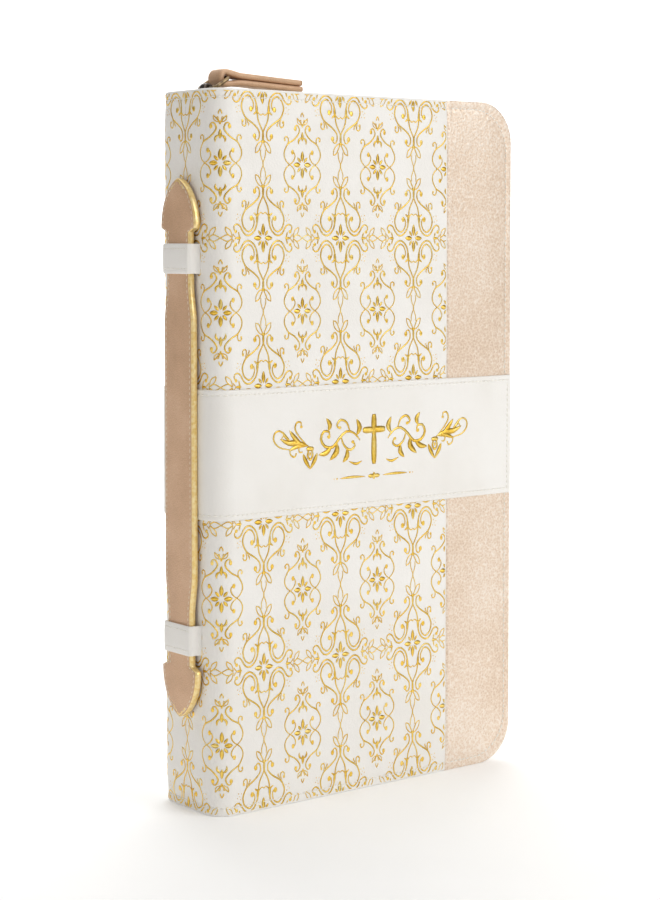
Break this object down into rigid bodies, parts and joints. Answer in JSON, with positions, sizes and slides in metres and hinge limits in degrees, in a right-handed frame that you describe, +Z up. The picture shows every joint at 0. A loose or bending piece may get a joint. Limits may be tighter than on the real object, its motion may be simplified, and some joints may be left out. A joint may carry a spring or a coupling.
{
  "type": "zip-round prayer book with cover",
  "caption": "Closed prayer book in a zip-round padded cover with a strap handle on the spine, a middle band, hinged covers, turning leaves, and a zip slider with a leather pull.",
  "frame": {"origin": "in the foot of the spine's skin, midway between the covers, on the plane that the book stands on", "axes": "+Z up along the spine, +X from the spine to the fore-edge, -Y out of the front cover"},
  "size_m": [0.1533, 0.04, 0.2773],
  "materials": {
    "white_leatherette": "soft white embossed leatherette with a low sheen, stamped with gold foil scrollwork",
    "rose_leatherette": "rose-gold metallic leatherette with a fine grain and a satin sheen",
    "rose_leather": "rose-brown pearl leather with painted gold edges",
    "cover_board": "dense grey-brown board",
    "lining_cloth": "ivory woven lining",
    "book_cloth": "brown leatherette book binding",
    "page_paper": "thin cream pages",
    "satin_ribbon": "bronze satin",
    "zip_tape": "ivory woven zip tape",
    "zip_coil": "ivory nylon zip coil",
    "dark_metal": "dark plated metal",
    "aged_brass": "aged brass wire"
  },
  "bodies": {
    "spine": {"spine_skin": "white_leatherette", "spine_band": "white_leatherette", "spine_board": "cover_board", "spine_lining": "lining_cloth", "zip_tab_top": "white_leatherette", "zip_tab_bottom": "white_leatherette", "book_spine": "book_cloth", "text_block": "page_paper", "head_band": "satin_ribbon", "tail_band": "satin_ribbon", "ribbon_marker": "satin_ribbon", "upper_keeper": "white_leatherette", "lower_keeper": "white_leatherette"},
    "front_cover": {"front_damask_skin": "white_leatherette", "front_edge_panel": "rose_leatherette", "front_band": "white_leatherette", "front_board": "cover_board", "front_lining": "lining_cloth", "front_book_board": "book_cloth", "front_sleeve": "lining_cloth", "front_zip_tape": "zip_tape", "front_zip_teeth": "zip_coil", "front_zip_stop": "dark_metal"},
    "back_cover": {"back_damask_skin": "white_leatherette", "back_edge_panel": "rose_leatherette", "back_band": "white_leatherette", "back_board": "cover_board", "back_lining": "lining_cloth", "back_book_board": "book_cloth", "back_sleeve": "lining_cloth", "back_zip_tape": "zip_tape", "back_zip_teeth": "zip_coil", "back_zip_stop": "dark_metal"},
    "front_leaves": {"front_leaves": "page_paper"},
    "back_leaves": {"back_leaves": "page_paper"},
    "zip_slider": {"zip_slider": "dark_metal"},
    "pull_ring": {"pull_ring": "aged_brass"},
    "leather_pull": {"leather_pull": "rose_leather"},
    "handle_grip": {"handle_grip": "rose_leather"},
    "handle_upper_end": {"handle_upper_end": "rose_leather"},
    "handle_lower_end": {"handle_lower_end": "rose_leather"}
  },
  "joints": [
    {"name": "front_cover_hinge", "type": "hinge", "parent": "spine", "child": "front_cover", "pos_m": [0.0095, -0.02, 0], "axis": [0, 0, -1], "range_deg": [0, 95]},
    {"name": "back_cover_hinge", "type": "hinge", "parent": "spine", "child": "back_cover", "pos_m": [0.0095, 0.02, 0], "axis": [0, 0, 1], "range_deg": [0, 95]},
    {"name": "front_leaves_hinge", "type": "hinge", "parent": "spine", "child": "front_leaves", "pos_m": [0.0215, -0.0109, 0], "axis": [0, 0, -1], "range_deg": [0, 76]},
    {"name": "back_leaves_hinge", "type": "hinge", "parent": "spine", "child": "back_leaves", "pos_m": [0.0215, 0.0109, 0], "axis": [0, 0, 1], "range_deg": [0, 76]},
    {"name": "zip_slide", "type": "slide", "parent": "back_cover", "child": "zip_slider", "axis": [1, 0, 0], "range_m": [0, 0.11]},
    {"name": "ring_hinge", "type": "hinge", "parent": "zip_slider", "child": "pull_ring", "pos_m": [0.00875, 0, 0.2708], "axis": [0, 1, 0], "range_deg": [-100, 0]},
    {"name": "pull_hinge", "type": "hinge", "parent": "pull_ring", "child": "leather_pull", "pos_m": [0.01553, 0, 0.27504], "axis": [0, 1, 0], "range_deg": [-100, 0]},
    {"name": "grip_slide", "type": "slide", "parent": "spine", "child": "handle_grip", "axis": [-1, 0, 0], "range_m": [0, 0.02]},
    {"name": "upper_end_slide", "type": "slide", "parent": "handle_grip", "child": "handle_upper_end", "axis": [0.9806, 0, -0.1961], "range_m": [0, 0.0204]},
    {"name": "lower_end_slide", "type": "slide", "parent": "handle_grip", "child": "handle_lower_end", "axis": [0.9806, 0, 0.1961], "range_m": [0, 0.0204]}
  ],
  "couplings": [
    {"joint": "front_leaves_hinge", "follows": "front_cover_hinge", "ratio": 0.8},
    {"joint": "back_leaves_hinge", "follows": "back_cover_hinge", "ratio": 0.8},
    {"joint": "upper_end_slide", "follows": "grip_slide", "ratio": 1.0198},
    {"joint": "lower_end_slide", "follows": "grip_slide", "ratio": 1.0198}
  ]
}
